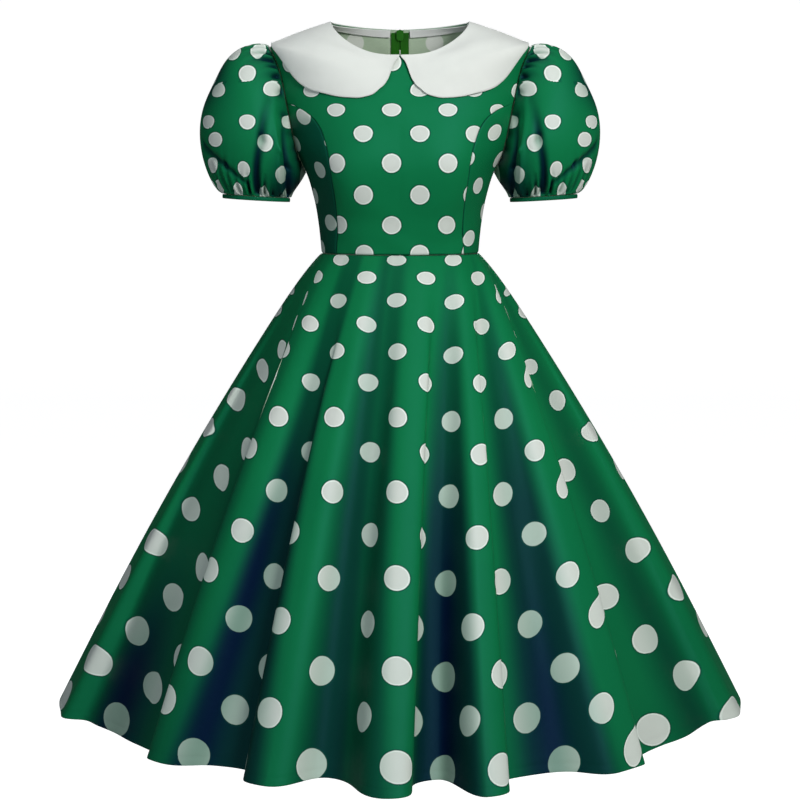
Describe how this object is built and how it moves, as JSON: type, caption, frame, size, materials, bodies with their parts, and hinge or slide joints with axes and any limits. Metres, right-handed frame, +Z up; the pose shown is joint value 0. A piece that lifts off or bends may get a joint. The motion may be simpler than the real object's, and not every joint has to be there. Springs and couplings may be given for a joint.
{
  "type": "a-line dress",
  "caption": "A-line dress with gathered puff sleeves, flat round collar, princess seams, flared skirt and a back zip whose pull tab swings; put on over the body.",
  "frame": {"origin": "midway between the two shoulder seams, at the height where the wearer's shoulders carry the dress", "axes": "+Z up, the front of the dress faces -Y, the wearer's left side is at +X"},
  "size_m": [1.044, 0.9699, 1.023],
  "materials": {
    "dress_satin": "green satin with white dots, soft sheen",
    "collar_white": "white satin, matt sheen",
    "neck_binding": "pale grey binding, matt",
    "zip_tape": "green woven tape, matt",
    "zip_metal": "green enamel, satin"
  },
  "bodies": {
    "dress": {"bodice_front": "dress_satin", "bodice_side_left": "dress_satin", "bodice_side_right": "dress_satin", "bodice_back_left": "dress_satin", "bodice_back_right": "dress_satin", "collar_left": "collar_white", "collar_right": "collar_white", "neck_binding": "neck_binding", "sleeve_left": "dress_satin", "sleeve_right": "dress_satin", "cuff_left": "dress_satin", "cuff_right": "dress_satin", "skirt_front": "dress_satin", "skirt_back_left": "dress_satin", "skirt_back_right": "dress_satin", "zip_tape_left": "zip_tape", "zip_tape_right": "zip_tape", "zip_slider": "zip_metal"},
    "pull": {"zip_pull": "zip_metal"}
  },
  "joints": [
    {"name": "zip_pull_swing", "type": "hinge", "parent": "dress", "child": "pull", "pos_m": [0, 0.07181, 0.00094], "axis": [1, 0, 0], "range_deg": [0, 150]}
  ]
}
